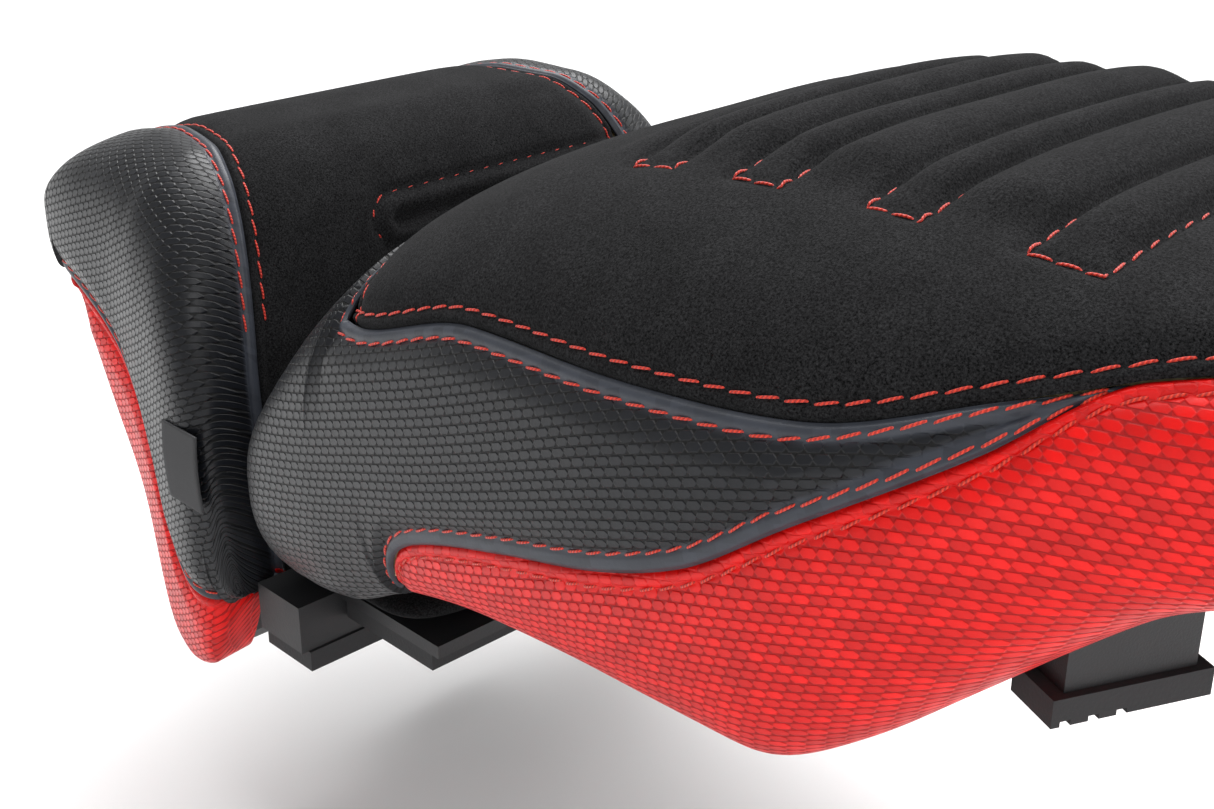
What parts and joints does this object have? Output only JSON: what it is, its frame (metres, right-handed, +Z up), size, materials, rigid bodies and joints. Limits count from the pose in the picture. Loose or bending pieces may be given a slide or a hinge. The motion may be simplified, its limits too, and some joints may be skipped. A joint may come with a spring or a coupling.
{
  "type": "motorcycle seat",
  "caption": "Two-piece motorcycle seat with a ribbed rider cushion and a rising passenger cushion on moulded pans.",
  "frame": {"origin": "midway between the two front rubber bumpers of the rider section, at the level of their feet", "axes": "+X to the nose, +Y to the rider's left, +Z up"},
  "size_m": [0.6454, 0.28, 0.2735],
  "materials": {
    "suede": "napped synthetic suede",
    "carbon_vinyl": "embossed vinyl, satin",
    "red_vinyl": "embossed vinyl, semi-gloss",
    "seat_foam": "open cell foam",
    "moulded_pan": "moulded, fine grain",
    "rubber": "moulded rubber",
    "zinc_steel": "zinc plated",
    "tag_fabric": "woven tag, blank"
  },
  "bodies": {
    "rider_section": {"rider_bumper_front_left": "rubber", "rider_bumper_front_right": "rubber", "rider_bumper_rear_left": "rubber", "rider_bumper_rear_right": "rubber", "rider_centre_panel": "suede", "rider_foam_core": "seat_foam", "rider_nose_tongue": "zinc_steel", "rider_nose_tongue_screw_left": "zinc_steel", "rider_nose_tongue_screw_right": "zinc_steel", "rider_pan": "moulded_pan", "rider_rear_bracket_left": "zinc_steel", "rider_rear_bracket_right": "zinc_steel", "rider_rear_bracket_screw_left": "zinc_steel", "rider_rear_bracket_screw_right": "zinc_steel", "rider_side_panel_left": "carbon_vinyl", "rider_side_panel_right": "carbon_vinyl", "rider_skirt_left": "red_vinyl", "rider_skirt_right": "red_vinyl"},
    "passenger_section": {"passenger_centre_panel": "suede", "passenger_foam_core": "seat_foam", "passenger_foot_left": "rubber", "passenger_foot_right": "rubber", "passenger_front_lip_pad": "suede", "passenger_latch_striker": "zinc_steel", "passenger_lip_foot_left": "rubber", "passenger_lip_foot_right": "rubber", "passenger_pan": "moulded_pan", "passenger_side_panel_left": "carbon_vinyl", "passenger_side_panel_right": "carbon_vinyl", "passenger_side_tag": "tag_fabric", "passenger_skirt_left": "red_vinyl", "passenger_skirt_right": "red_vinyl", "passenger_tongue": "zinc_steel", "passenger_tongue_screw_left": "zinc_steel", "passenger_tongue_screw_right": "zinc_steel"}
  },
  "joints": [
    {"name": "passenger_release", "type": "slide", "parent": "rider_section", "child": "passenger_section", "axis": [-1, 0, 0], "range_m": [0, 0.1]}
  ]
}
